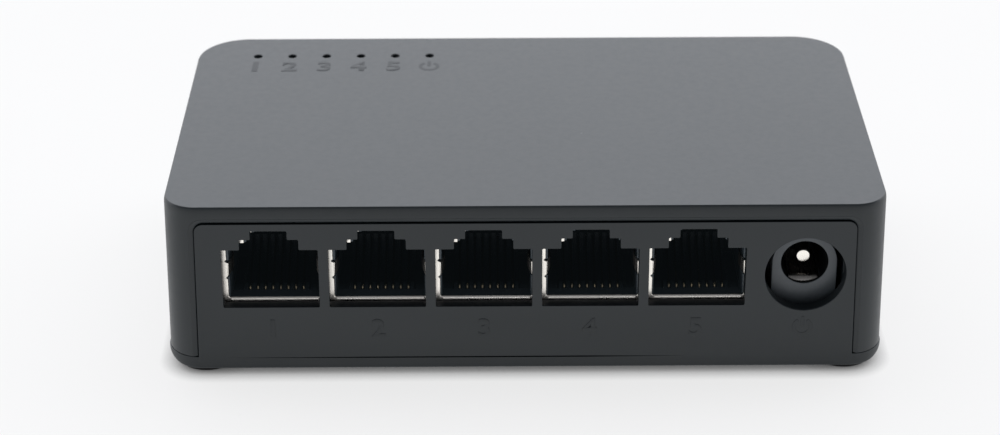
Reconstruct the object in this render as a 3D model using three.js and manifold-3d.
// Five-port desktop network switch, an assembly of separate named pieces.
// Millimetres, +Z up, +X to the right when facing the port side, +Y towards the back.
// Origin: on the standing surface, under the middle of the case.
import * as THREE from "three";
import { mergeVertices } from "three/addons/utils/BufferGeometryUtils.js";
import Module from "manifold-3d";

const wasm = await Module();
wasm.setup();

// ---------------------------------------------------------------- shared dimensions
const QUARTER = Math.PI / 2;
const PAST = 1; // how far cutters usually run past the surface they open
const ROOT = 0.4; // how far posts and ribs run into the plate they stand on

const CORNER_FRONT = 4.5; // plan radii of the case
const CORNER_BACK = 7.2;
const CEILING_Z = 23.55; // underside of the cover's top
const BASE_FLOOR_Z = 2.4;

// Port panel, one piece with the base and flush with its front
const BASE_FRONT = -27.2;
const PANEL_DRAFT = 0.0212; // side draft shared by panel and cover, mm per mm
const PANEL_HALF_W = 42.92; // at PANEL_DRAFT_Z
const PANEL_DRAFT_Z = 20.0;
const PANEL_TOP = 22.57;
const RETURN_T = 1.2; // thickness of the panel's side returns

const PORTS = 5;
const PORT_PITCH = 13.97;
const PORT_X1 = -33.4; // centre of the first port opening
const JACK_SHIFT = 0.3; // the jack block sits this far to the right of the openings

const PCB_Z0 = 7.5;
const PCB_Z1 = 8.7;
const ON_PCB = PCB_Z1 + 0.05;
const SCREWS = [[-40.9, 12.6], [40.9, 12.6]]; // x, y

const LEDS = 6;
const LED_X1 = -38.35;
const LED_PITCH = 5.0;
const LED_Y = 20.72;

const FOOT_R = 4.0;
const FOOT_H = 1.25;
const FEET = {
  foot_front_left: [-42.7, -22.2],
  foot_front_right: [42.7, -22.2],
  foot_rear_left: [-40.6, 20.8],
  foot_rear_right: [40.6, 20.8],
};

const BASE_Z0 = 0.9;
const LABEL = { x: [-21, 21], y: [-11, 11] };

const portX = (port) => PORT_X1 + PORT_PITCH * port;
const jackX = (port) => portX(port) + JACK_SHIFT;
const ledX = (place) => LED_X1 + LED_PITCH * place;
const LIGHT_POSTS = [ledX(0.5), ledX(4.5)]; // x of the posts that hold the light pipe
const panelHalf = (z) => PANEL_HALF_W + PANEL_DRAFT * (PANEL_DRAFT_Z - z);

// ---------------------------------------------------------------- geometry helpers
// Extents are passed as [low, high] pairs.
const around = (middle, half) => [middle - half, middle + half];
const widen = ([low, high], margin) => [low - margin, high + margin];

function solid(geometry) {
  const bare = geometry.index ? geometry.toNonIndexed() : geometry.clone();
  for (const name of Object.keys(bare.attributes)) {
    if (name !== "position") bare.deleteAttribute(name);
  }
  const merged = mergeVertices(bare, 1e-4);
  return new wasm.Manifold(
    new wasm.Mesh({
      numProp: 3,
      vertProperties: new Float32Array(merged.attributes.position.array),
      triVerts: new Uint32Array(merged.index.array),
    }),
  );
}

function geometryOf(manifold) {
  const { numVert, numProp, vertProperties, triVerts } = manifold.getMesh();
  const positions = new Float32Array(numVert * 3);
  for (let i = 0; i < numVert; i++) {
    positions.set(vertProperties.subarray(i * numProp, i * numProp + 3), i * 3);
  }
  const geometry = new THREE.BufferGeometry()
    .setAttribute("position", new THREE.BufferAttribute(positions, 3))
    .setIndex(new THREE.BufferAttribute(new Uint32Array(triVerts), 1));
  geometry.computeVertexNormals();
  return geometry;
}

const box = ([x0, x1], [y0, y1], [z0, z1]) =>
  solid(
    new THREE.BoxGeometry(x1 - x0, y1 - y0, z1 - z0)
      .translate((x0 + x1) / 2, (y0 + y1) / 2, (z0 + z1) / 2),
  );

// Cylinders along Z and along Y.
const cylinderZ = (x, y, radius, [z0, z1], segments) =>
  solid(
    new THREE.CylinderGeometry(radius, radius, z1 - z0, segments)
      .rotateX(QUARTER)
      .translate(x, y, (z0 + z1) / 2),
  );
const cylinderY = (x, z, radius, [y0, y1], segments) =>
  solid(
    new THREE.CylinderGeometry(radius, radius, y1 - y0, segments).translate(x, (y0 + y1) / 2, z),
  );

// Profiles of [radius, height] turned about Y, and about a Z axis through x, y.
const lathe = (profile, segments) =>
  new THREE.LatheGeometry(
    profile.map(([radius, height]) => new THREE.Vector2(radius, height)),
    segments,
  );
const turnZ = (profile, segments, x, y, z = 0) =>
  solid(lathe(profile, segments).rotateX(QUARTER).translate(x, y, z));

// Extrusions of a shape drawn in the XY, XZ or YZ plane.
const extrude = (shape, [low, high], curveSegments = 6) =>
  new THREE.ExtrudeGeometry(shape, { depth: high - low, bevelEnabled: false, curveSegments });
const prismZ = (shape, span) => solid(extrude(shape, span).translate(0, 0, span[0]));
const prismY = (shape, span, curveSegments) =>
  solid(extrude(shape, span, curveSegments).rotateX(QUARTER).translate(0, span[1], 0));
const prismX = (shape, span) =>
  solid(
    extrude(shape, span).applyMatrix4(
      new THREE.Matrix4().set(0, 0, 1, span[0], 1, 0, 0, 0, 0, 1, 0, 0, 0, 0, 0, 1),
    ),
  );

const polygon = (points) => new THREE.Shape(points.map(([a, b]) => new THREE.Vector2(a, b)));

// Points along a counter-clockwise quarter circle.
const quarterArc = (centreX, centreY, radius, start, steps) =>
  Array.from({ length: steps + 1 }, (_, i) => {
    const angle = start + QUARTER * (i / steps);
    return [centreX + radius * Math.cos(angle), centreY + radius * Math.sin(angle)];
  });

// Plan outline of the case, counter-clockwise, drawn in from its full size by inset.
function caseOutline(halfWidth, front, back, inset) {
  const rFront = CORNER_FRONT - inset;
  const rBack = CORNER_BACK - inset;
  return [
    ...quarterArc(-halfWidth + rFront, front + rFront, rFront, Math.PI, 6),
    ...quarterArc(halfWidth - rFront, front + rFront, rFront, 3 * QUARTER, 6),
    ...quarterArc(halfWidth - rBack, back - rBack, rBack, 0, 6),
    ...quarterArc(-halfWidth + rBack, back - rBack, rBack, QUARTER, 6),
  ];
}

// Closed skin through convex outlines with equal point counts: [[z, outline], ...] going up.
function loftSkin(levels) {
  const count = levels[0][1].length;
  const positions = levels.flatMap(([z, points]) => points.flatMap(([x, y]) => [x, y, z]));
  const indices = [];
  for (let level = 0; level + 1 < levels.length; level++) {
    for (let i = 0; i < count; i++) {
      const here = level * count + i;
      const next = level * count + ((i + 1) % count);
      indices.push(here, next, next + count, here, next + count, here + count);
    }
  }
  const top = (levels.length - 1) * count;
  for (let i = 1; i + 1 < count; i++) indices.push(0, i + 1, i, top, top + i, top + i + 1);
  return new THREE.BufferGeometry()
    .setAttribute("position", new THREE.Float32BufferAttribute(positions, 3))
    .setIndex(indices);
}
const loftUp = (levels) => solid(loftSkin(levels));

// The same, stacked along Y: outlines are in X and Z, levels go towards -Y.
const loftFront = (levels) =>
  solid(loftSkin(levels.map(([y, points]) => [-y, points])).rotateX(QUARTER));

// A strip of even thickness along a polyline, mitred at its bends.
function strip(path, thickness) {
  const left = [];
  const right = [];
  path.forEach(([x, y], i) => {
    const [beforeX, beforeY] = path[Math.max(i - 1, 0)];
    const [afterX, afterY] = path[Math.min(i + 1, path.length - 1)];
    const arriving = new THREE.Vector2(x - beforeX, y - beforeY).normalize();
    const leaving = new THREE.Vector2(afterX - x, afterY - y).normalize();
    const isEnd = arriving.length() === 0 || leaving.length() === 0;
    const along = arriving.clone().add(leaving).normalize();
    const reach = thickness / 2 / (isEnd ? 1 : along.dot(leaving));
    left.push([x - along.y * reach, y + along.x * reach]);
    right.push([x + along.y * reach, y - along.x * reach]);
  });
  return polygon([...right, ...left.reverse()]);
}

// Cutter for a jack opening that narrows upwards in three steps of [half width, top z].
function openingCutter(x, { sill, steps }, span) {
  const [[a, lowZ], [b, midZ], [c, highZ]] = steps;
  const shape = polygon([
    [x - a, sill], [x + a, sill], [x + a, lowZ],
    [x + b, lowZ], [x + b, midZ], [x + c, midZ],
    [x + c, highZ], [x - c, highZ], [x - c, midZ],
    [x - b, midZ], [x - b, lowZ], [x - a, lowZ],
  ]);
  return prismY(shape, span);
}

// ---------------------------------------------------------------- materials
const material = (settings) => () => new THREE.MeshStandardMaterial(settings);
const casePlastic = material({ color: 0x36383b, roughness: 0.62, metalness: 0 });
const rubber = material({ color: 0x191a1b, roughness: 0.85, metalness: 0 });
const blackPlastic = material({ color: 0x111213, roughness: 0.5, metalness: 0 });
const chipBlack = material({ color: 0x1a1b1d, roughness: 0.6, metalness: 0 });
const steel = material({ color: 0xb9bab8, roughness: 0.32, metalness: 1 });
const gold = material({ color: 0xd8b469, roughness: 0.28, metalness: 1 });
const labelGrey = material({ color: 0xc9c9c6, roughness: 0.5, metalness: 0 });
const boardGreen = material({ color: 0x1f5a3a, roughness: 0.45, metalness: 0 });
const ledCream = material({ color: 0xe6e2c8, roughness: 0.35, metalness: 0 });
const ferrite = material({ color: 0x3a3a3c, roughness: 0.7, metalness: 0 });
const aluminium = material({ color: 0xb7babd, roughness: 0.35, metalness: 0.9 });
const clearPlastic = material({
  color: 0xdfe6e8,
  roughness: 0.08,
  metalness: 0,
  transparent: true,
  opacity: 0.5,
});

// ---------------------------------------------------------------- top cover
const TOP_Z = 25.2;
const COVER_Z0 = 3.05; // lower edge of the walls
const COVER_HALF_W = 47.15; // at COVER_DRAFT_Z
const COVER_FRONT = -27.5;
const COVER_BACK = 27.25; // at COVER_DRAFT_Z
const COVER_DRAFT_Z = 22.8;
const BACK_DRAFT = 0.0106; // mm per mm
const TOP_FILLET = 0.4;
const WALL = 1.6;
const PANEL_GAP = 0.27; // between the panel and the cut-out
const CUTOUT_CHAMFER = 0.5;
const CUTOUT_CORNER = 1.25;
const CUTOUT_MOUTH_CORNER = 1.8;
const LED_HOLE_R = 0.5;
const RIB_XS = [-20.0, 0.0, 20.0];

function coverRing(z, inset, draftZ = z) {
  const drop = COVER_DRAFT_Z - draftZ;
  return [
    z,
    caseOutline(
      COVER_HALF_W + PANEL_DRAFT * drop - inset,
      COVER_FRONT + inset,
      COVER_BACK + BACK_DRAFT * drop - inset,
      inset,
    ),
  ];
}

function coverShell() {
  const filletZ = TOP_Z - TOP_FILLET;
  const levels = [coverRing(COVER_Z0, 0), coverRing(filletZ, 0)];
  for (let i = 1; i <= 4; i++) {
    const angle = QUARTER * (i / 4);
    const z = filletZ + TOP_FILLET * Math.sin(angle);
    levels.push(coverRing(z, TOP_FILLET * (1 - Math.cos(angle)), filletZ));
  }
  const hollow = [coverRing(COVER_Z0 - PAST, WALL), coverRing(CEILING_Z, WALL)];
  return loftUp(levels).subtract(loftUp(hollow));
}

// Outline in X and Z around the port panel, larger than the panel by its gap plus grow.
function archOutline(grow, radius) {
  const margin = PANEL_GAP + grow;
  const top = PANEL_TOP + margin;
  const half = panelHalf(top - radius) + margin;
  const foot = panelHalf(0) + margin;
  return [
    [-foot, 0],
    [foot, 0],
    ...quarterArc(half - radius, top - radius, radius, 0, 4),
    ...quarterArc(-half + radius, top - radius, radius, QUARTER, 4),
  ];
}

// Cutter for the panel's cut-out, open at the bottom, with a chamfered border in front.
function cutoutCutter() {
  const mouthPast = 0.1;
  return loftFront([
    [COVER_FRONT + WALL + 0.5, archOutline(0, CUTOUT_CORNER)],
    [COVER_FRONT + CUTOUT_CHAMFER, archOutline(0, CUTOUT_CORNER)],
    [COVER_FRONT - mouthPast, archOutline(CUTOUT_CHAMFER + mouthPast, CUTOUT_MOUTH_CORNER)],
  ]);
}

function topCover() {
  let cover = coverShell().subtract(cutoutCutter());
  for (let i = 0; i < LEDS; i++) {
    cover = cover.subtract(cylinderZ(ledX(i), LED_Y, LED_HOLE_R, [22, 26], 12));
  }
  for (const x of LIGHT_POSTS) {
    cover = cover.add(cylinderZ(x, LED_Y, 0.7, [21.0, CEILING_Z + ROOT], 10));
  }
  // Stiffening ribs under the top face.
  for (const x of RIB_XS) {
    cover = cover.add(box(around(x, 0.5), [-4.0, 17.5], [CEILING_Z - 1.2, CEILING_Z + ROOT]));
  }
  return cover;
}

// ---------------------------------------------------------------- base with its port panel
const BASE_HALF_W = 47.75;
const BASE_BACK = 27.5;
const BASE_RIM_Z = 2.8;
const BASE_FILLET = 1.5;
const BASE_FRONT_FILLET = 0.4;
const TONGUE_INSET = 2.0; // locating tongue inside the cover's wall
const TONGUE_T = 1.1;
const TONGUE_Z = 4.4;
const TONGUE_FRONT = -19.5; // no tongue in front of this line
const PANEL_T = 1.6;
const PANEL_Z0 = BASE_Z0 + 0.8;
const PANEL_CORNER = 1.0;
const RETURN_BACK = -21.2;
const RETURN_TOP = 20.0;
const PORT_OPENING = { sill: 10.3, steps: [[6.333, 18.82], [3.855, 20.33], [2.394, 21.6]] };
const DC_HOLE = { x: 36.65, z: 14.82, r: 5.307 };
const POST_TOP = PCB_Z0 - 0.05;
const SUPPORTS = [[-42.6, -16.5], [42.6, -16.5]]; // x, y
const VENTS = { perSide: 5, firstX: 26.2, pitch: 2.9, halfWidth: 0.8, y: [-10, 6.5] };

const baseRing = (z, inset, frontInset = inset) => [
  z,
  caseOutline(BASE_HALF_W - inset, BASE_FRONT + frontInset, BASE_BACK - inset, inset),
];

// Tray with a rounded lower edge, the rounding being smaller along the front.
function baseTray() {
  const levels = [];
  for (let i = 0; i <= 4; i++) {
    const angle = QUARTER * (i / 4);
    const rise = BASE_FILLET * (1 - Math.cos(angle));
    const lean = Math.max(0, 1 - rise / BASE_FRONT_FILLET);
    const inset = BASE_FILLET * (1 - Math.sin(angle));
    const frontInset = BASE_FRONT_FILLET * (1 - Math.sqrt(1 - lean * lean));
    levels.push(baseRing(BASE_Z0 + rise, inset, frontInset));
  }
  levels.push(baseRing(BASE_RIM_Z, 0));

  const tongue = loftUp([
    baseRing(BASE_RIM_Z - 0.2, TONGUE_INSET),
    baseRing(TONGUE_Z, TONGUE_INSET),
  ]).subtract(box([-60, 60], [-40, TONGUE_FRONT], [BASE_RIM_Z, TONGUE_Z + PAST]));
  const hollow = loftUp([
    baseRing(BASE_FLOOR_Z, TONGUE_INSET + TONGUE_T),
    baseRing(TONGUE_Z + PAST, TONGUE_INSET + TONGUE_T),
  ]);
  return loftUp(levels).add(tongue).subtract(hollow);
}

function portPanel() {
  const foot = panelHalf(PANEL_Z0);
  const shoulderZ = PANEL_TOP - PANEL_CORNER;
  const shoulder = panelHalf(shoulderZ);
  const shape = new THREE.Shape();
  shape.moveTo(-foot, PANEL_Z0);
  shape.lineTo(foot, PANEL_Z0);
  shape.lineTo(shoulder, shoulderZ);
  shape.absarc(shoulder - PANEL_CORNER, shoulderZ, PANEL_CORNER, 0, QUARTER, false);
  shape.lineTo(-shoulder + PANEL_CORNER, PANEL_TOP);
  shape.absarc(-shoulder + PANEL_CORNER, shoulderZ, PANEL_CORNER, QUARTER, Math.PI, false);
  shape.closePath();

  const panelY = [BASE_FRONT, BASE_FRONT + PANEL_T];
  const through = widen(panelY, PAST);
  let panel = prismY(shape, panelY);
  for (let port = 0; port < PORTS; port++) {
    panel = panel.subtract(openingCutter(portX(port), PORT_OPENING, through));
  }
  panel = panel.subtract(cylinderY(DC_HOLE.x, DC_HOLE.z, DC_HOLE.r, through, 32));
  // Side returns that stiffen the panel.
  for (const side of [-1, 1]) {
    const x = [side * (PANEL_HALF_W - RETURN_T), side * PANEL_HALF_W].sort((a, b) => a - b);
    const y = [panelY[1] - 0.2, RETURN_BACK];
    panel = panel.add(box(x, y, [BASE_FLOOR_Z - ROOT, RETURN_TOP]));
  }
  return panel;
}

function bottomBase() {
  let base = baseTray().add(portPanel());
  const postZ = [BASE_FLOOR_Z - ROOT, POST_TOP];
  for (const [x, y] of SCREWS) base = base.add(cylinderZ(x, y, 2.7, postZ, 16));
  for (const [x, y] of SUPPORTS) base = base.add(cylinderZ(x, y, 1.4, postZ, 12));
  for (const [x, y] of SCREWS) {
    base = base.subtract(cylinderZ(x, y, 1.15, [BASE_FLOOR_Z, PCB_Z0 + PAST], 12));
  }
  // Shallow seats for the feet and the label.
  const below = BASE_Z0 - PAST;
  for (const [x, y] of Object.values(FEET)) {
    base = base.subtract(cylinderZ(x, y, FOOT_R + 0.3, [below, FOOT_H + 0.05], 24));
  }
  base = base.subtract(box(widen(LABEL.x, 0.4), widen(LABEL.y, 0.4), [below, BASE_Z0 + 0.2]));
  // Ventilation slots on both sides of the label.
  for (const side of [-1, 1]) {
    for (let i = 0; i < VENTS.perSide; i++) {
      const x = around(side * (VENTS.firstX + VENTS.pitch * i), VENTS.halfWidth);
      base = base.subtract(box(x, VENTS.y, [below, BASE_FLOOR_Z + PAST]));
    }
  }
  return base;
}

// A disc with a small chamfer at its standing edge.
const FOOT_PROFILE = [[0, 0], [FOOT_R - 0.3, 0], [FOOT_R, 0.3], [FOOT_R, FOOT_H], [0, FOOT_H]];
const ratingLabel = () => box(LABEL.x, LABEL.y, [BASE_Z0 + 0.04, BASE_Z0 + 0.16]);

// ---------------------------------------------------------------- circuit board
const PCB_HALF_W = 44.4;
const PCB_BACK = 24.4;
const PCB_FRONT = -25.1;
const PCB_CHAMFER = 4.5; // back corners
const NOTCH_X = PANEL_HALF_W - RETURN_T - 0.4; // front corners, clear of the panel's returns
const NOTCH_Y = -20.9;

const SCREW_PROFILE = [ // radius, z
  [0, 3.6], [0.7, 3.6], [1.0, 4.4], [1.0, ON_PCB],
  [2.4, ON_PCB], [2.4, ON_PCB + 0.8], [1.9, ON_PCB + 1.5], [0, ON_PCB + 1.7],
];
const SCREW_SLOT = { halfLength: 1.2, halfWidth: 0.25, z: [ON_PCB + 1.0, ON_PCB + 3] };

function mainPcb() {
  const outline = polygon([
    [-NOTCH_X, PCB_FRONT],
    [NOTCH_X, PCB_FRONT],
    [NOTCH_X, NOTCH_Y],
    [PCB_HALF_W, NOTCH_Y],
    [PCB_HALF_W, PCB_BACK - PCB_CHAMFER],
    [PCB_HALF_W - PCB_CHAMFER, PCB_BACK],
    [-PCB_HALF_W + PCB_CHAMFER, PCB_BACK],
    [-PCB_HALF_W, PCB_BACK - PCB_CHAMFER],
    [-PCB_HALF_W, NOTCH_Y],
    [-NOTCH_X, NOTCH_Y],
  ]);
  let pcb = prismZ(outline, [PCB_Z0, PCB_Z1]);
  for (const [x, y] of SCREWS) {
    pcb = pcb.subtract(cylinderZ(x, y, 1.5, widen([PCB_Z0, PCB_Z1], PAST), 16));
  }
  return pcb;
}

// Screw with a cross recess in its head.
function pcbScrew(x, y) {
  const { halfLength, halfWidth, z } = SCREW_SLOT;
  return turnZ(SCREW_PROFILE, 16, x, y)
    .subtract(box(around(x, halfLength), around(y, halfWidth), z))
    .subtract(box(around(x, halfWidth), around(y, halfLength), z));
}

// ---------------------------------------------------------------- ganged jack block
const SHIELD = { x: [-40.8, 30.6], y: [-25.35, -7.4], z: [8.85, 22.2], t: 0.25 };
const SHIELD_OPENING = { sill: 10.81, steps: [[6.0, 18.89], [3.47, 20.42], [2.35, 21.5]] };
const HOUSING_INSET = SHIELD.t + 0.1;
const HOUSING_OPENING = { sill: 10.75, steps: [[5.85, 18.85], [3.4, 20.3], [2.25, 21.3]] };
const CAVITY_BACK = -12.7;

const CONTACTS = 8;
const CONTACT_PITCH = 1.016;
const CONTACT_W = 0.36;
const CONTACT_T = 0.3;
const [ROOT_Y, ROOT_Z] = [-21.85, 9.6]; // root bar of the contacts
const CONTACT_PATH = [ // y, z
  [ROOT_Y, ROOT_Z], [ROOT_Y + 0.12, ROOT_Z + 0.42], [ROOT_Y + 0.5, ROOT_Z + 0.68],
  [-14.3, 13.8],
];

// Sheet box, open at the bottom.
function jackShield() {
  const { x, y, z, t } = SHIELD;
  let shield = box(x, y, z).subtract(box(widen(x, -t), widen(y, -t), [z[0] - PAST, z[1] - t]));
  for (let port = 0; port < PORTS; port++) {
    const front = [y[0] - PAST, y[0] + t + 0.05];
    shield = shield.subtract(openingCutter(jackX(port), SHIELD_OPENING, front));
  }
  return shield;
}

function jackHousing() {
  const { x, y, z } = SHIELD;
  let housing = box(
    widen(x, -HOUSING_INSET),
    widen(y, -HOUSING_INSET),
    [z[0], z[1] - HOUSING_INSET],
  );
  for (let port = 0; port < PORTS; port++) {
    const cavityY = [y[0] - PAST, CAVITY_BACK];
    housing = housing.subtract(openingCutter(jackX(port), HOUSING_OPENING, cavityY));
    // Well in the floor for the contacts.
    const well = box(around(jackX(port), 4.5), [-23.1, CAVITY_BACK], [9.2, 11.2]);
    housing = housing.subtract(well);
  }
  return housing;
}

// Eight sprung wires on one root bar.
function contactComb(middleX) {
  let comb = box(around(middleX, 3.95), around(ROOT_Y, 0.35), around(ROOT_Z, 0.18));
  for (let i = 0; i < CONTACTS; i++) {
    const x = middleX + (i - (CONTACTS - 1) / 2) * CONTACT_PITCH;
    comb = comb.add(prismX(strip(CONTACT_PATH, CONTACT_T), around(x, CONTACT_W / 2)));
  }
  return comb;
}

// ---------------------------------------------------------------- DC power jack
const DC = { x: 36.79, z: 15.23, face: -24.6, back: -10.4, half: 4.3, bore: 3.075 };
const DC_Z0 = ON_PCB + 0.05;
const BORE_END = -14.0;
const PIN = { r: 1.0, tip: -22.8, length: 12.9 };
const PIN_PROFILE = [ // radius, distance behind the tip
  [0, 0], [0.72, 0], [0.94, 0.14], [PIN.r, 0.42], [PIN.r, PIN.length], [0, PIN.length],
];
const LEAF_HALF_W = 1.95;
const LEAF_T = 0.2;
const LEAF_PATH = [ // y, z, from the root forwards
  [-14.8, 11.9], [-16.6, 12.3], [-22.6, 12.76], [-23.3, 12.7], [-23.75, 12.35], [-23.92, 11.7],
];

function dcJackBody() {
  const shape = new THREE.Shape();
  shape.moveTo(DC.x - DC.half, DC_Z0);
  shape.lineTo(DC.x + DC.half, DC_Z0);
  shape.absarc(DC.x, DC.z, DC.half, 0, Math.PI, false);
  shape.closePath();
  const leafSlot = box(around(DC.x, LEAF_HALF_W + 0.2), [-24.25, BORE_END], [10.6, 13.2]);
  return prismY(shape, [DC.face, DC.back], 20)
    .subtract(cylinderY(DC.x, DC.z, DC.bore, [DC.face - PAST, BORE_END], 28))
    .subtract(cylinderY(DC.x, DC.z, PIN.r + 0.3, [-15, DC.back + PAST], 16))
    .subtract(leafSlot);
}

// Pin with an upright plate behind the body.
function dcJackPin() {
  const plateY = [DC.back + 0.15, DC.back + 0.5];
  return solid(lathe(PIN_PROFILE, 16).translate(DC.x, PIN.tip, DC.z))
    .add(box(around(DC.x, 1.6), plateY, [DC_Z0, DC.z + 1.6]));
}

const dcJackSpring = () => prismX(strip(LEAF_PATH, LEAF_T), around(DC.x, LEAF_HALF_W));

function dcSwitchContact() {
  const side = DC.x + DC.half;
  return box([side + 0.1, side + 0.4], [-18.4, -16.2], [DC_Z0, 12.6]);
}

// ---------------------------------------------------------------- indicators
// One bar with a leg down to each LED and a thin tip up into each hole of the cover.
function lightPipe() {
  const barX = widen([ledX(0), ledX(LEDS - 1)], 1.4);
  let pipe = box(barX, around(LED_Y, 1.7), [21.3, 22.7]);
  for (const x of LIGHT_POSTS) pipe = pipe.subtract(cylinderZ(x, LED_Y, 0.95, [20, 24], 10));
  for (let i = 0; i < LEDS; i++) {
    pipe = pipe
      .add(cylinderZ(ledX(i), LED_Y, 0.9, [9.9, 22.0], 12))
      .add(cylinderZ(ledX(i), LED_Y, 0.36, [22.0, 24.75], 10));
  }
  return pipe;
}

// ---------------------------------------------------------------- parts on the board
// Rectangular parts; z is measured from ON_PCB.
const boardBlock = ({ x, y, z }) => box(x, y, z.map((height) => ON_PCB + height));
const led = (x) => boardBlock({ x: around(x, 0.62), y: around(LED_Y, 1.0), z: [0, 0.8] });
const magnetics = (x) => boardBlock({ x: around(x, 5.3), y: [-5.6, 1.0], z: [0.1, 3.2] });
const SWITCH_IC = { x: [-9.0, 3.0], y: [4.6, 16.6], z: [0.1, 1.3] };
const INDUCTOR = { x: [33.1, 39.9], y: [-6.9, -0.1], z: [0, 3.2] };
const REGULATOR = { x: [33.0, 38.0], y: [2.2, 6.1], z: [0.1, 1.5] };
const DIODE = { x: [33.3, 37.7], y: [8.6, 11.3], z: [0.1, 2.2] };
const CRYSTAL = { x: 14.5, y: [6.2, 12.6], r: 2.3, height: 3.3 }; // y: centres of the round ends
const CAPACITORS = [
  // x, y, radius, height
  [26.4, 6.2, 3.15, 7.6],
  [30.2, 17.4, 2.5, 5.4],
];

function crystal() {
  const { x, y, r, height } = CRYSTAL;
  const can = new THREE.Shape();
  can.absarc(x, y[1], r, 0, Math.PI, false);
  can.absarc(x, y[0], r, Math.PI, 2 * Math.PI, false);
  can.closePath();
  return prismZ(can, [ON_PCB, ON_PCB + height]);
}

function capacitor(x, y, r, height) {
  const profile = [[0, 0], [r, 0], [r, height - 0.5], [r - 0.4, height], [0, height]];
  return turnZ(profile, 24, x, y, ON_PCB);
}

// ---------------------------------------------------------------- assembly
const group = new THREE.Group();
function add(name, manifold, surface) {
  const mesh = new THREE.Mesh(geometryOf(manifold), surface());
  mesh.name = name;
  group.add(mesh);
}

add("top_cover", topCover(), casePlastic);
add("bottom_base", bottomBase(), casePlastic);
for (const [name, [x, y]] of Object.entries(FEET)) {
  add(name, turnZ(FOOT_PROFILE, 24, x, y), rubber);
}
add("rating_label", ratingLabel(), labelGrey);
add("main_pcb", mainPcb(), boardGreen);
SCREWS.forEach(([x, y], i) => add("pcb_screw_" + (i ? "right" : "left"), pcbScrew(x, y), steel));

add("rj45_shield", jackShield(), steel);
add("rj45_housing", jackHousing(), blackPlastic);
for (let port = 0; port < PORTS; port++) {
  add("port_" + (port + 1) + "_contacts", contactComb(jackX(port)), gold);
}
add("dc_jack_body", dcJackBody(), blackPlastic);
add("dc_jack_pin", dcJackPin(), steel);
add("dc_jack_spring", dcJackSpring(), steel);
add("dc_jack_switch_contact", dcSwitchContact(), steel);

for (let i = 0; i < LEDS; i++) add("led_" + (i + 1), led(ledX(i)), ledCream);
add("light_pipe", lightPipe(), clearPlastic);
for (let port = 0; port < PORTS; port++) {
  add("magnetics_" + (port + 1), magnetics(jackX(port)), chipBlack);
}
add("switch_ic", boardBlock(SWITCH_IC), chipBlack);
add("crystal", crystal(), steel);
add("power_inductor", boardBlock(INDUCTOR), ferrite);
add("buck_regulator", boardBlock(REGULATOR), chipBlack);
add("input_diode", boardBlock(DIODE), chipBlack);
CAPACITORS.forEach((sizes, i) => add("capacitor_" + (i + 1), capacitor(...sizes), aluminium));

export default group;
